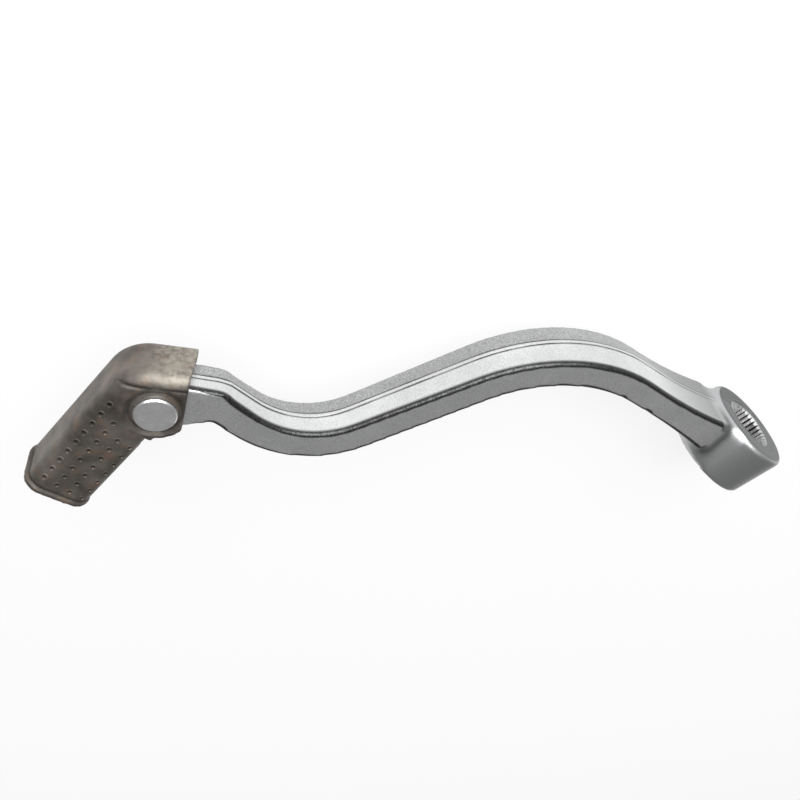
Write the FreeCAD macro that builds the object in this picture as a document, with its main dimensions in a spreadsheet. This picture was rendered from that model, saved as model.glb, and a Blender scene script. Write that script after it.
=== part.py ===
import FreeCAD, Part
import os
import Sketcher
from math import asin, atan2, cos, radians, sin

# Foot gear shift lever with a sprung folding toe piece, in millimetres.
# Origin on the axis of the serrated bore at mid boss; +X runs forward to the toe,
# +Y outboard along the bore, +Z up.

Vector = FreeCAD.Vector
doc = FreeCAD.newDocument("gear_shift_lever")
sheet = doc.addObject("Spreadsheet::Sheet", "Sheet")

sizes = {
    # boss and serrated bore
    "boss_diameter": 24.8,
    "boss_length": 14.0,
    "boss_rim_round": 1.2,
    "boss_edge": 0.5,
    "bore_diameter": 12.6,
    "serration_depth": 0.85,
    "serration_count": 34,
    "serration_land": 4.6,
    "bore_chamfer": 0.9,
    # lie of the arm's own plane, which is canted from the bore
    "arm_drop": 1.7,
    "arm_rise": 1.95,
    "arm_roll": 7.2,
    # centre line of the arm in that plane
    "root_run": 41.1,
    "outward_radius": 40.2,
    "diagonal_angle": 57.8,
    "diagonal_run": 28.8,
    "forward_radius": 22.2,
    "tip_angle": -11.7,
    "tip_run": 8.0,
    # drafted forging section, split at the parting line
    "arm_width": 8.4,
    "root_height": 17.6,
    "tip_height": 9.2,
    "upper_draft": 8.0,
    "lower_draft": 5.0,
    "flash_proud": 0.25,
    "flash_height": 1.2,
    "flare_run": 24.0,
    "inboard_blend": 2.0,
    "outboard_blend": 1.5,
    # forked eye that carries the toe pivot
    "tongue_length": 11.75,
    "tongue_angle": 27.0,
    "eye_radius": 6.0,
    "tongue_root_radius": 4.0,
    "spring_slot_height": 4.4,
    "spring_slot_radius": 7.0,
    # pressed toe piece, seen from the pivot with the peg along local Y
    "toe_lean": 6.6,
    "sheet_wall": 1.6,
    "cheek_gap": 0.3,
    "peg_width": 13.8,
    "peg_setback": 3.5,
    "peg_end": 32.1,
    "peg_start": 7.0,
    "skin_round": 3.4,
    "tube_start": 10.2,
    "web_distance": 9.4,
    "web_angle": 27.0,
    "web_rear": 8.2,
    "elbow_radius": 9.0,
    "lobe_radius": 6.9,
    "lobe_end_turn": 224.0,
    "lip_thickness": 1.3,
    "lip_flare": 0.4,
    # rows of punched grip holes in the peg
    "grip_front_row": 9,
    "grip_second_row": 8,
    "grip_third_row": 7,
    "grip_rear_row": 7,
    "grip_hole": 1.0,
    "grip_pitch": 3.05,
    "grip_row_gap": 3.1,
    "grip_edge": 2.2,
    "grip_depth": 2.6,
    "grip_margin": 4.7,
    "grip_skew": 0.6,
    # pivot rivet
    "rivet_diameter": 5.2,
    "rivet_head": 8.6,
    "rivet_head_height": 1.3,
    "rivet_seat": 12.2,
    "rivet_seat_depth": 0.5,
    "rivet_head_edge": 0.3,
    "rivet_gap": 0.05,
    # return spring round the rivet
    "spring_wire": 1.2,
    "spring_wire_sides": 10,
    "spring_radius": 3.9,
    "spring_pitch": 1.3,
    "spring_arm_leg": 4.6,
    "spring_toe_leg": 6.0,
    "spring_toe_turn": 251.5,
}
for row, (name, value) in enumerate(sizes.items(), start=1):
    sheet.set("A%d" % row, name)
    sheet.set("B%d" % row, str(value))
    sheet.setAlias("B%d" % row, name)
doc.recompute()


def cell(name):
    return "Sheet." + name


def origin_plane(body, role):
    return [f for f in body.Origin.OriginFeatures if f.Role == role][0]


def add_sketch(body, name, role):
    sketch = body.newObject("Sketcher::SketchObject", name)
    sketch.AttachmentSupport = [(origin_plane(body, role), "")]
    sketch.MapMode = "FlatFace"
    return sketch


def size_to(sketch, constraint, expression):
    index = sketch.addConstraint(constraint)
    sketch.setExpression("Constraints[%d]" % index, expression)


def add_circle(sketch, x_expression, y_expression, radius_expression, guess):
    x, y, radius = guess
    circle = sketch.addGeometry(Part.Circle(Vector(x, y, 0), Vector(0, 0, 1), radius), False)
    size_to(sketch, Sketcher.Constraint("Radius", circle, radius), radius_expression)
    for kind, value, expression in (("DistanceX", x, x_expression), ("DistanceY", y, y_expression)):
        size_to(sketch, Sketcher.Constraint(kind, -1, 1, circle, 3, value), expression)
    return circle


def pad(body, name, sketch, length, midplane=False, reverse=False):
    feature = body.newObject("PartDesign::Pad", name)
    feature.Profile = sketch
    feature.setExpression("Length", length)
    feature.Midplane = midplane
    feature.Reversed = reverse
    doc.recompute()
    return feature


def pocket(body, name, sketch, length, midplane=False, reverse=False):
    feature = body.newObject("PartDesign::Pocket", name)
    feature.Profile = sketch
    feature.setExpression("Length", length)
    feature.Midplane = midplane
    feature.Reversed = reverse
    doc.recompute()
    return feature


def rounded_box_profile(sketch, centre, width, height, corner):
    # Rectangle with four equal corner arcs; each size is (value, expression).
    cx, wide, high, rad = centre[0], width[0] / 2, height[0] / 2, corner[0]
    left, right = cx - wide, cx + wide
    points = [
        (left + rad, high), (right - rad, high), (right, high - rad), (right, rad - high),
        (right - rad, -high), (left + rad, -high), (left, rad - high), (left, high - rad),
    ]
    centres = [(right - rad, high - rad, 0), (right - rad, rad - high, 270),
               (left + rad, rad - high, 180), (left + rad, high - rad, 90)]
    lines = []
    for i in range(4):
        a, b = points[2 * i], points[2 * i + 1]
        lines.append(sketch.addGeometry(Part.LineSegment(Vector(*a, 0), Vector(*b, 0)), False))
    arcs = []
    for x, y, start in centres:
        circle = Part.Circle(Vector(x, y, 0), Vector(0, 0, 1), rad)
        arc = Part.ArcOfCircle(circle, radians(start), radians(start + 90))
        arcs.append(sketch.addGeometry(arc, False))
    for i in range(4):
        sketch.addConstraint(Sketcher.Constraint("Tangent", lines[i], 2, arcs[i], 2))
        sketch.addConstraint(Sketcher.Constraint("Tangent", arcs[i], 1, lines[(i + 1) % 4], 1))
    for i in (0, 2):
        sketch.addConstraint(Sketcher.Constraint("Horizontal", lines[i]))
    for i in (1, 3):
        sketch.addConstraint(Sketcher.Constraint("Vertical", lines[i]))
    for arc in arcs[1:]:
        sketch.addConstraint(Sketcher.Constraint("Equal", arcs[0], arc))
    size_to(sketch, Sketcher.Constraint("Radius", arcs[0], rad), corner[1])
    size_to(sketch, Sketcher.Constraint("DistanceY", -1, 1, lines[0], 1, high), "(%s) / 2" % height[1])
    size_to(sketch, Sketcher.Constraint("DistanceY", lines[2], 1, -1, 1, high), "(%s) / 2" % height[1])
    size_to(sketch, Sketcher.Constraint("DistanceX", -1, 1, lines[1], 1, right),
            "%s + (%s) / 2" % (centre[1], width[1]))
    size_to(sketch, Sketcher.Constraint("DistanceX", -1, 1, lines[3], 1, left),
            "%s - (%s) / 2" % (centre[1], width[1]))


def turn(name):
    return cell(name) + " * 1 deg"


# End of the arm's centre line and the toe pivot in the arm's plane, as text for bindings and as numbers.
names = {
    "root": cell("root_run"), "r1": cell("outward_radius"), "diag": cell("diagonal_run"),
    "r2": cell("forward_radius"), "tip": cell("tip_run"),
    "b": turn("diagonal_angle"), "c": turn("tip_angle"),
}
tip_x = (
    "({root} + {r1} * sin({b}) + {diag} * cos({b})"
    " + {r2} * (sin({b}) - sin({c})) + {tip} * cos({c}))"
).format(**names)
tip_y = (
    "({r1} * (1 - cos({b})) + {diag} * sin({b})"
    " + {r2} * (cos({c}) - cos({b})) + {tip} * sin({c}))"
).format(**names)
pivot_x = "(%s + %s * cos(%s))" % (tip_x, cell("tongue_length"), turn("tongue_angle"))
pivot_y = "(%s + %s * sin(%s))" % (tip_y, cell("tongue_length"), turn("tongue_angle"))
arm_place = "placement(vector(0; 0; -%s); rotation(0; -%s; %s))" % (
    cell("arm_drop"), turn("arm_rise"), turn("arm_roll"))

diagonal, tip_turn = radians(sizes["diagonal_angle"]), radians(sizes["tip_angle"])
tongue_turn = radians(sizes["tongue_angle"])
path = [Vector(0, 0, 0)]
path.append(path[-1] + Vector(sizes["root_run"], 0, 0))
path.append(path[-1] + Vector(sin(diagonal), 1 - cos(diagonal), 0) * sizes["outward_radius"])
path.append(path[-1] + Vector(cos(diagonal), sin(diagonal), 0) * sizes["diagonal_run"])
path.append(path[-1] + Vector(sin(diagonal) - sin(tip_turn), cos(tip_turn) - cos(diagonal), 0)
            * sizes["forward_radius"])
path.append(path[-1] + Vector(cos(tip_turn), sin(tip_turn), 0) * sizes["tip_run"])
tip = path[-1]
pivot = tip + Vector(cos(tongue_turn), sin(tongue_turn), 0) * sizes["tongue_length"]

# Lever arm: forging drafted from its parting line, boss with serrated bore, forked eye.
arm = doc.addObject("PartDesign::Body", "Arm")
arm.Label = "lever_arm"


def arm_sketch(name, upright=False):
    # Sketch on the arm's canted plane, or upright along its root.
    sketch = add_sketch(arm, name, "XY_Plane")
    lift = " * placement(vector(0; 0; 0); rotation(0; 0; 90))" if upright else ""
    sketch.setExpression("AttachmentOffset", arm_place + lift)
    return sketch


def add_chain(sketch, offset, construction):
    # Line, arc, line, arc, line at a sideways offset from the centre line.
    turns = (0, 0, diagonal, diagonal, tip_turn, tip_turn)
    normals = [Vector(-sin(angle), cos(angle), 0) for angle in turns]
    points = [point + normal * offset for point, normal in zip(path, normals)]
    outward_centre = path[1] + normals[1] * sizes["outward_radius"]
    forward_centre = path[3] - normals[3] * sizes["forward_radius"]
    first = Part.Circle(outward_centre, Vector(0, 0, 1), sizes["outward_radius"] - offset)
    second = Part.Circle(forward_centre, Vector(0, 0, 1), sizes["forward_radius"] + offset)
    quarter = radians(90)
    shapes = (
        Part.LineSegment(points[0], points[1]),
        Part.ArcOfCircle(first, -quarter, diagonal - quarter),
        Part.LineSegment(points[2], points[3]),
        Part.ArcOfCircle(second, tip_turn + quarter, diagonal + quarter),
        Part.LineSegment(points[4], points[5]),
    )
    chain = [sketch.addGeometry(shape, construction) for shape in shapes]
    for one, one_end, other, other_end in ((0, 2, 1, 1), (1, 2, 2, 1), (2, 2, 3, 2), (3, 1, 4, 1)):
        sketch.addConstraint(Sketcher.Constraint("Tangent", chain[one], one_end, chain[other], other_end))
    return chain


def arm_outline(name, width, width_text):
    # Plan of the arm: two sides at half the width from a construction centre line, closed by caps.
    sketch = arm_sketch(name)
    spine = add_chain(sketch, 0, True)
    sketch.addConstraint(Sketcher.Constraint("Coincident", spine[0], 1, -1, 1))
    sketch.addConstraint(Sketcher.Constraint("Horizontal", spine[0]))
    for line, size in ((0, "root_run"), (2, "diagonal_run"), (4, "tip_run")):
        size_to(sketch, Sketcher.Constraint("Distance", spine[line], sizes[size]), cell(size))
    for arc, size in ((1, "outward_radius"), (3, "forward_radius")):
        size_to(sketch, Sketcher.Constraint("Radius", spine[arc], sizes[size]), cell(size))
    for line, size in ((2, "diagonal_angle"), (4, "tip_angle")):
        angle = Sketcher.Constraint("Angle", -1, 1, spine[line], 1, radians(sizes[size]))
        size_to(sketch, angle, turn(size))
    sides = []
    for side in (1, -1):
        chain = add_chain(sketch, side * width / 2, False)
        for arc, size, sign in ((1, "outward_radius", -side), (3, "forward_radius", side)):
            sketch.addConstraint(Sketcher.Constraint("Coincident", chain[arc], 3, spine[arc], 3))
            size_to(sketch, Sketcher.Constraint("Radius", chain[arc], sizes[size] + sign * width / 2),
                    "%s + %d * (%s) / 2" % (cell(size), sign, width_text))
        for line in (0, 4):
            sketch.addConstraint(Sketcher.Constraint("Parallel", chain[line], spine[line]))
        sides.append(chain)
    for line, end in ((0, 1), (4, 2)):
        ends = [Vector(*sketch.getPoint(chain[line], end)) for chain in sides]
        cap = sketch.addGeometry(Part.LineSegment(*ends), False)
        for index, chain in enumerate(sides, start=1):
            sketch.addConstraint(Sketcher.Constraint("Coincident", cap, index, chain[line], end))
        sketch.addConstraint(Sketcher.Constraint("Perpendicular", cap, spine[line]))
        sketch.addConstraint(Sketcher.Constraint("PointOnObject", spine[line], end, cap))
    doc.recompute()
    return sketch


def drafted_halves(name, sketch):
    # One outline drawn up and down from the parting plane, each way with its own draft.
    for half_name, draft, down in (("Upper", "upper_draft", False), ("Lower", "lower_draft", True)):
        half = arm.newObject("PartDesign::Pad", name + half_name)
        half.Profile = sketch
        half.setExpression("Length", cell("root_height") + " / 2")
        half.setExpression("TaperAngle", "-" + turn(draft))
        half.Reversed = down
        doc.recompute()


def offset_sketch(body, name, role, distance):
    # Sketch on a plane parallel to an origin plane, moved along that plane's normal.
    sketch = add_sketch(body, name, role)
    sketch.setExpression("AttachmentOffset.Base.z", distance)
    return sketch


def polygon(sketch, points):
    # Closed outline whose corners are (x, y, x expression, y expression).
    count = len(points)
    corners = [Vector(x, y, 0) for x, y, _, _ in points]
    lines = [sketch.addGeometry(Part.LineSegment(corners[i], corners[(i + 1) % count]), False)
             for i in range(count)]
    for i in range(count):
        sketch.addConstraint(Sketcher.Constraint("Coincident", lines[i], 2, lines[(i + 1) % count], 1))
    for line, (x, y, x_text, y_text) in zip(lines, points):
        size_to(sketch, Sketcher.Constraint("DistanceX", -1, 1, line, 1, x), x_text)
        size_to(sketch, Sketcher.Constraint("DistanceY", -1, 1, line, 1, y), y_text)
    return lines


def edges_where(shape, test):
    return ["Edge%d" % (i + 1) for i, edge in enumerate(shape.Edges) if test(edge)]


def fillet(body, name, base, edges, radius):
    feature = body.newObject("PartDesign::Fillet", name)
    feature.Base = (base, edges)
    feature.setExpression("Radius", radius)
    doc.recompute()
    return feature


def middle(edge):
    return edge.valueAt((edge.FirstParameter + edge.LastParameter) / 2)


drafted_halves("Forging", arm_outline("PartingOutline", sizes["arm_width"], cell("arm_width")))

# Root flare: long hollow curves lead the arm's sides out to the boss.
boss_radius = sizes["boss_diameter"] / 2
boss_radius_text = cell("boss_diameter") + " / 2"
flare = arm_sketch("RootFlare")
neck = sizes["arm_width"] / 2
flare_run = sizes["flare_run"]
flare_end_text = boss_radius_text + " + " + cell("flare_run")
ends = []
for side, blend in ((1, "outboard_blend"), (-1, "inboard_blend")):
    reach = sizes[blend]
    radius = (flare_run ** 2 + reach ** 2) / (2 * reach)
    wide = side * (neck + reach)
    neck_text = "%d * %s / 2" % (side, cell("arm_width"))
    wide_text = "%s + %d * %s" % (neck_text, side, cell(blend))
    swing = asin(flare_run / radius)
    foot = -side * radians(90)
    start, stop = (foot - swing, foot) if side > 0 else (foot, foot + swing)
    circle = Part.Circle(Vector(boss_radius + flare_run, side * (neck + radius), 0), Vector(0, 0, 1), radius)
    arc = flare.addGeometry(Part.ArcOfCircle(circle, start, stop), False)
    boss_end, arm_end = (1, 2) if side > 0 else (2, 1)
    line = flare.addGeometry(Part.LineSegment(Vector(0, wide, 0), Vector(boss_radius, wide, 0)), False)
    flare.addConstraint(Sketcher.Constraint("Coincident", line, 2, arc, boss_end))
    for point, x, x_text, y, y_text in (
            ((line, 1), 0, "0", wide, wide_text),
            ((line, 2), boss_radius, boss_radius_text, wide, wide_text),
            ((arc, arm_end), boss_radius + flare_run, flare_end_text, side * neck, neck_text)):
        size_to(flare, Sketcher.Constraint("DistanceX", -1, 1, *point, x), x_text)
        size_to(flare, Sketcher.Constraint("DistanceY", -1, 1, *point, y), y_text)
    flare.addConstraint(Sketcher.Constraint("Vertical", arc, 3, arc, arm_end))
    ends.append((line, arc, arm_end, Vector(0, wide, 0), Vector(boss_radius + flare_run, side * neck, 0)))
(line_a, arc_a, end_a, back_a, front_a), (line_b, arc_b, end_b, back_b, front_b) = ends
front = flare.addGeometry(Part.LineSegment(front_a, front_b), False)
back = flare.addGeometry(Part.LineSegment(back_a, back_b), False)
for first, first_end, second, second_end in ((front, 1, arc_a, end_a), (front, 2, arc_b, end_b),
                                             (back, 1, line_a, 1), (back, 2, line_b, 1)):
    flare.addConstraint(Sketcher.Constraint("Coincident", first, first_end, second, second_end))
doc.recompute()
drafted_halves("Flare", flare)

# The forging thins towards the tip: a wedge comes off the top and the bottom.
wedges = arm_sketch("HeightTaper", upright=True)
for side in (1, -1):
    tall, low, far = side * sizes["root_height"] / 2, side * sizes["tip_height"] / 2, pivot.x
    tall_text = "%d * %s / 2" % (side, cell("root_height"))
    low_text = "%d * %s / 2" % (side, cell("tip_height"))
    polygon(wedges, [
        (boss_radius, tall, boss_radius_text, tall_text),
        (tip.x, low, tip_x, low_text),
        (far, low, pivot_x, low_text),
        (far, 2 * tall, pivot_x, "2 * " + tall_text),
        (boss_radius, 2 * tall, boss_radius_text, "2 * " + tall_text),
    ])
pocket(arm, "HeightTaperCut", wedges, "4 * " + pivot_y, midplane=True)

# Trimmed flash: a low flat land that stands along the parting line.
flash_width = "%s + 2 * %s" % (cell("arm_width"), cell("flash_proud"))
flash = arm_outline("FlashOutline", sizes["arm_width"] + 2 * sizes["flash_proud"], flash_width)
pad(arm, "Flash", flash, cell("flash_height"), midplane=True)

boss_sketch = add_sketch(arm, "BossOutline", "XZ_Plane")
add_circle(boss_sketch, "0", "0", cell("boss_diameter") + " / 2", (0, 0, boss_radius))
boss = pad(arm, "Boss", boss_sketch, cell("boss_length"), midplane=True)


def on_boss_rim(edge, face):
    points = edge.discretize(5)
    at_face = all(abs(point.y - face) < 0.01 for point in points)
    return at_face and all(abs(Vector(point.x, 0, point.z).Length - boss_radius) < 0.01 for point in points)


inboard = edges_where(boss.Shape, lambda edge: on_boss_rim(edge, -sizes["boss_length"] / 2))
rim = fillet(arm, "BossRim", boss, inboard, cell("boss_rim_round"))
outboard = edges_where(rim.Shape, lambda edge: on_boss_rim(edge, sizes["boss_length"] / 2))
far_rim = arm.newObject("PartDesign::Chamfer", "BossFarRim")
far_rim.Base = (rim, outboard)
far_rim.setExpression("Size", cell("boss_edge"))
doc.recompute()

# Forked eye: a tapering tongue round the pivot, split for the return spring.
tongue = arm_sketch("TongueOutline")
sideways = Vector(-sin(tongue_turn), cos(tongue_turn), 0)
eye, base = sizes["eye_radius"], sizes["tongue_root_radius"]
upper = tongue.addGeometry(Part.LineSegment(tip + sideways * base, pivot + sideways * eye), False)
lower = tongue.addGeometry(Part.LineSegment(pivot - sideways * eye, tip - sideways * base), False)
right = tongue_turn - radians(90)
nose = Part.ArcOfCircle(Part.Circle(pivot, Vector(0, 0, 1), eye), right, right + radians(180))
tail = Part.ArcOfCircle(Part.Circle(tip, Vector(0, 0, 1), base), right + radians(180), right + radians(360))
nose = tongue.addGeometry(nose, False)
tail = tongue.addGeometry(tail, False)
for first, first_end, second, second_end in ((upper, 2, nose, 2), (nose, 1, lower, 1),
                                             (lower, 2, tail, 2), (tail, 1, upper, 1)):
    tongue.addConstraint(Sketcher.Constraint("Tangent", first, first_end, second, second_end))
size_to(tongue, Sketcher.Constraint("Radius", nose, eye), cell("eye_radius"))
size_to(tongue, Sketcher.Constraint("Radius", tail, base), cell("tongue_root_radius"))
size_to(tongue, Sketcher.Constraint("DistanceX", -1, 1, nose, 3, pivot.x), pivot_x)
size_to(tongue, Sketcher.Constraint("DistanceY", -1, 1, nose, 3, pivot.y), pivot_y)
size_to(tongue, Sketcher.Constraint("DistanceX", -1, 1, tail, 3, tip.x), tip_x)
size_to(tongue, Sketcher.Constraint("DistanceY", -1, 1, tail, 3, tip.y), tip_y)
pad(arm, "Tongue", tongue, cell("tip_height"), midplane=True)
slot_sketch = arm_sketch("SpringSlot")
add_circle(slot_sketch, pivot_x, pivot_y, cell("spring_slot_radius"),
           (pivot.x, pivot.y, sizes["spring_slot_radius"]))
pocket(arm, "SpringSlotCut", slot_sketch, cell("spring_slot_height"), midplane=True)
pin_radius = "%s / 2 + %s" % (cell("rivet_diameter"), cell("rivet_gap"))
pin_guess = sizes["rivet_diameter"] / 2 + sizes["rivet_gap"]
pin_sketch = arm_sketch("PivotHole")
add_circle(pin_sketch, pivot_x, pivot_y, pin_radius, (pivot.x, pivot.y, pin_guess))
pocket(arm, "PivotHoleCut", pin_sketch, "2 * " + cell("tip_height"), midplane=True)

# Serrated bore with lead-in chamfers at both faces.
bore_radius = sizes["bore_diameter"] / 2
bore_sketch = add_sketch(arm, "Bore", "XZ_Plane")
add_circle(bore_sketch, "0", "0", cell("bore_diameter") + " / 2", (0, 0, bore_radius))
pocket(arm, "BoreCut", bore_sketch, "2 * " + cell("boss_length"), midplane=True)
groove_half = radians(360 / sizes["serration_count"] - sizes["serration_land"]) / 2
groove_text = "(180 deg / %s - %s / 2)" % (cell("serration_count"), turn("serration_land"))
radius_text = cell("bore_diameter") + " / 2"
serration = add_sketch(arm, "Serration", "XZ_Plane")
base_x, base_y = bore_radius * cos(groove_half), bore_radius * sin(groove_half)
base_x_text = "%s * cos(%s)" % (radius_text, groove_text)
base_y_text = "%s * sin(%s)" % (radius_text, groove_text)
polygon(serration, [
    (base_x, -base_y, base_x_text, "-" + base_y_text),
    (bore_radius + sizes["serration_depth"], 0, radius_text + " + " + cell("serration_depth"), "0"),
    (base_x, base_y, base_x_text, base_y_text),
])
tooth = pocket(arm, "SerrationCut", serration, "2 * " + cell("boss_length"), midplane=True)
ring = arm.newObject("PartDesign::PolarPattern", "SerrationRing")
ring.Originals = [tooth]
ring.Axis = (origin_plane(arm, "Y_Axis"), [""])
ring.Angle = 360
ring.setExpression("Occurrences", cell("serration_count"))
arm.Tip = ring
doc.recompute()
chamfer_sketch = add_sketch(arm, "BoreChamfers", "XY_Plane")
for side in (1, -1):
    face, face_text = side * sizes["boss_length"] / 2, "%d * %s / 2" % (side, cell("boss_length"))
    inner_text = "%s - %d * %s" % (face_text, side, cell("bore_chamfer"))
    inner = face - side * sizes["bore_chamfer"]
    mouth = bore_radius + sizes["serration_depth"]
    polygon(chamfer_sketch, [
        (bore_radius / 2, face, radius_text + " / 2", face_text),
        (mouth, face, radius_text + " + " + cell("serration_depth"), face_text),
        (bore_radius, inner, radius_text, inner_text),
        (bore_radius / 2, inner, radius_text + " / 2", inner_text),
    ])
chamfers = arm.newObject("PartDesign::Groove", "BoreChamferCut")
chamfers.Profile = chamfer_sketch
chamfers.ReferenceAxis = (chamfer_sketch, ["V_Axis"])
chamfers.Angle = 360
doc.recompute()

# Pressed toe piece, drawn about its pivot with the peg along +Y.
toe = doc.addObject("PartDesign::Body", "ToePiece")
toe.Label = "toe_piece"
doc.recompute()
wall = cell("sheet_wall")
toe_height = "(%s + 2 * %s + 2 * %s)" % (cell("tip_height"), cell("cheek_gap"), wall)
cavity_height = "(%s + 2 * %s)" % (cell("tip_height"), cell("cheek_gap"))
toe_height_guess = sizes["tip_height"] + 2 * sizes["cheek_gap"] + 2 * sizes["sheet_wall"]
front_x = "(%s + %s / 2)" % (cell("peg_setback"), cell("peg_width"))
rear_x = "(%s - %s / 2)" % (cell("peg_setback"), cell("peg_width"))
front_guess = sizes["peg_setback"] + sizes["peg_width"] / 2
rear_guess = sizes["peg_setback"] - sizes["peg_width"] / 2
web_turn = radians(sizes["web_angle"])
web_along = Vector(cos(web_turn), sin(web_turn), 0)
web_out = Vector(sin(web_turn), -cos(web_turn), 0)


def web_and_front(sketch, inset, inset_text, start, reach):
    # Web line, elbow arc and front line of the pressing, inset from the outer skin.
    radius = sizes["elbow_radius"] - inset
    front = front_guess - inset
    distance = sizes["web_distance"] - inset
    centre_x = front - radius
    along = (centre_x - (distance - radius) * web_out.x) / web_along.x
    centre = web_out * (distance - radius) + web_along * along
    bend = Part.ArcOfCircle(Part.Circle(centre, Vector(0, 0, 1), radius), web_turn - radians(90), 0)
    foot = centre + web_out * radius
    web = sketch.addGeometry(Part.LineSegment(start, foot), False)
    elbow = sketch.addGeometry(bend, False)
    top = Vector(front, sizes[reach], 0)
    straight = sketch.addGeometry(Part.LineSegment(Vector(front, centre.y, 0), top), False)
    sketch.addConstraint(Sketcher.Constraint("Tangent", web, 2, elbow, 1))
    sketch.addConstraint(Sketcher.Constraint("Tangent", elbow, 2, straight, 1))
    sketch.addConstraint(Sketcher.Constraint("Vertical", straight))
    size_to(sketch, Sketcher.Constraint("DistanceX", -1, 1, straight, 2, front), front_x + inset_text)
    size_to(sketch, Sketcher.Constraint("DistanceY", -1, 1, straight, 2, top.y), cell(reach))
    size_to(sketch, Sketcher.Constraint("Radius", elbow, radius), cell("elbow_radius") + inset_text)
    size_to(sketch, Sketcher.Constraint("Angle", web, web_turn), turn("web_angle"))
    offset = Sketcher.Constraint("Distance", -1, 1, web, distance)
    size_to(sketch, offset, cell("web_distance") + inset_text)
    return web, straight


head = add_sketch(toe, "HeadOutline", "XY_Plane")
web_end = web_out * sizes["web_distance"] - web_along * sizes["web_rear"]
web_end_x = "%s * sin(%s) - %s * cos(%s)" % (cell("web_distance"), turn("web_angle"),
                                             cell("web_rear"), turn("web_angle"))
web, straight = web_and_front(head, 0, "", web_end, "peg_start")
lobe_radius = sizes["lobe_radius"]
rear_height = (lobe_radius ** 2 - rear_guess ** 2) ** 0.5
lobe_turn = radians(sizes["lobe_end_turn"])
lobe_end = Vector(cos(lobe_turn), sin(lobe_turn), 0) * lobe_radius
across = head.addGeometry(Part.LineSegment(Vector(front_guess, sizes["peg_start"], 0),
                                           Vector(rear_guess, sizes["peg_start"], 0)), False)
rear = head.addGeometry(Part.LineSegment(Vector(rear_guess, sizes["peg_start"], 0),
                                         Vector(rear_guess, rear_height, 0)), False)
lobe_circle = Part.Circle(Vector(0, 0, 0), Vector(0, 0, 1), lobe_radius)
lobe = head.addGeometry(Part.ArcOfCircle(lobe_circle, atan2(rear_height, rear_guess),
                                         lobe_turn), False)
edge = head.addGeometry(Part.LineSegment(lobe_end, web_end), False)
for first, first_end, second, second_end in ((straight, 2, across, 1), (across, 2, rear, 1),
                                             (rear, 2, lobe, 1), (lobe, 2, edge, 1), (edge, 2, web, 1)):
    head.addConstraint(Sketcher.Constraint("Coincident", first, first_end, second, second_end))
head.addConstraint(Sketcher.Constraint("Horizontal", across))
head.addConstraint(Sketcher.Constraint("Vertical", rear))
head.addConstraint(Sketcher.Constraint("Coincident", lobe, 3, -1, 1))
size_to(head, Sketcher.Constraint("Radius", lobe, lobe_radius), cell("lobe_radius"))
size_to(head, Sketcher.Constraint("DistanceX", -1, 1, rear, 1, rear_guess), rear_x)
size_to(head, Sketcher.Constraint("DistanceY", -1, 1, lobe, 2, lobe_end.y),
        "%s * sin(%s)" % (cell("lobe_radius"), turn("lobe_end_turn")))
size_to(head, Sketcher.Constraint("DistanceX", -1, 1, web, 1, web_end.x), web_end_x)
doc.recompute()
head_pad = pad(toe, "Head", head, toe_height, midplane=True)


def on_web_skin(edge):
    # Upper and lower edges of the web, the elbow and the front wall.
    point = middle(edge)
    level = abs(abs(point.z) - toe_height_guess / 2) < 0.01
    on_web = abs(point.dot(web_out) - sizes["web_distance"]) < 0.01
    on_front = abs(point.x - front_guess) < 0.01
    bend = hasattr(edge.Curve, "Radius") and abs(edge.Curve.Radius - sizes["elbow_radius"]) < 0.01
    return level and (on_web or on_front or bend) and edge.Length > 2


fillet(toe, "PressedEdges", head_pad, edges_where(head_pad.Shape, on_web_skin), cell("skin_round"))


def peg_section(name, distance, grow, grow_text):
    # Rounded section of the peg across its axis, grown or shrunk all round from the skin.
    sketch = offset_sketch(toe, name, "XZ_Plane", "-(%s)" % distance)
    rounded_box_profile(sketch, (sizes["peg_setback"], cell("peg_setback")),
                        (sizes["peg_width"] + 2 * grow, cell("peg_width") + " + 2 * " + grow_text),
                        (toe_height_guess + 2 * grow, toe_height + " + 2 * " + grow_text),
                        (sizes["skin_round"] + grow, cell("skin_round") + " + " + grow_text))
    doc.recompute()
    return sketch


tube = peg_section("PegTube", cell("peg_start"), 0, "0")
pad(toe, "Peg", tube, "%s - %s" % (cell("peg_end"), cell("peg_start")), reverse=True)
lip_start = "(%s - %s)" % (cell("peg_end"), cell("lip_thickness"))
lip = peg_section("PegLip", lip_start, sizes["lip_flare"], cell("lip_flare"))
pad(toe, "Lip", lip, cell("lip_thickness"), reverse=True)
hollow = peg_section("PegHollow", cell("peg_end"), -sizes["sheet_wall"], "-1 * " + wall)
pocket(toe, "PegHollowCut", hollow, "%s - %s" % (cell("peg_end"), cell("tube_start")), reverse=True)
cavity = add_sketch(toe, "HeadCavity", "XY_Plane")
inner = sizes["sheet_wall"]
far = -2 * lobe_radius
web_far = web_out * (sizes["web_distance"] - inner) + web_along * ((far - 2) / web_along.x)
web_far = Vector(far, web_far.y, 0)
web, straight = web_and_front(cavity, inner, " - " + wall, web_far, "tube_start")
across = cavity.addGeometry(Part.LineSegment(Vector(front_guess - inner, sizes["tube_start"], 0),
                                             Vector(far, sizes["tube_start"], 0)), False)
back = cavity.addGeometry(Part.LineSegment(Vector(far, sizes["tube_start"], 0), web_far), False)
for first, first_end, second, second_end in ((straight, 2, across, 1), (across, 2, back, 1),
                                             (back, 2, web, 1)):
    cavity.addConstraint(Sketcher.Constraint("Coincident", first, first_end, second, second_end))
cavity.addConstraint(Sketcher.Constraint("Horizontal", across))
cavity.addConstraint(Sketcher.Constraint("Vertical", back))
size_to(cavity, Sketcher.Constraint("DistanceX", -1, 1, back, 1, far), "-2 * " + cell("lobe_radius"))
doc.recompute()
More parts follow.
